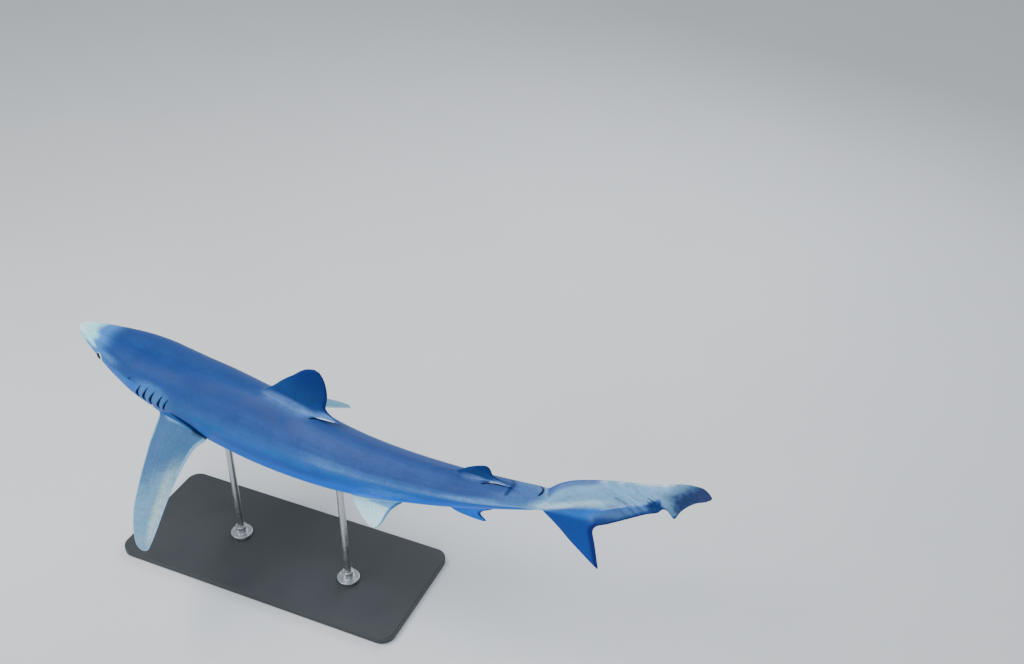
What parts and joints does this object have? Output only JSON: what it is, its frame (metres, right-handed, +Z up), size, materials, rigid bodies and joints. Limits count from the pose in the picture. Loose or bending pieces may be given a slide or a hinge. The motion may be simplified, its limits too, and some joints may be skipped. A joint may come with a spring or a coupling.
{
  "type": "blue shark display model",
  "caption": "Life-size blue shark swimming in a gentle curve, with long pectoral fins and a raised upper tail lobe, held over a flat base on slim rods.",
  "frame": {"origin": "middle of the underside of the display stand's base", "axes": "+Z up; +X towards the tail, with the head at -X; the shark's left side faces -Y"},
  "size_m": [2.1059, 0.9292, 0.8038],
  "materials": {
    "skin_back": "satin",
    "skin_pale": "satin",
    "skin_fin": "satin",
    "eye": "gloss",
    "stand_board": "matt lacquer",
    "stand_metal": "brushed"
  },
  "bodies": {
    "root": {"head": "skin_back", "lower_jaw": "skin_pale", "eye_left": "eye", "eye_right": "eye", "gill_region": "skin_back", "trunk_front": "skin_back", "trunk_rear": "skin_back", "tail_stock": "skin_back", "caudal_upper_lobe": "skin_pale", "caudal_lower_lobe": "skin_fin", "dorsal_fin_first": "skin_fin", "dorsal_fin_second": "skin_fin", "anal_fin": "skin_fin", "pectoral_fin_left": "skin_pale", "pectoral_fin_right": "skin_pale", "pelvic_fin_left": "skin_pale", "pelvic_fin_right": "skin_pale", "stand_base": "stand_board", "stand_rod_front": "stand_metal", "stand_rod_rear": "stand_metal", "stand_collar_front": "stand_metal", "stand_collar_rear": "stand_metal"}
  },
  "joints": []
}
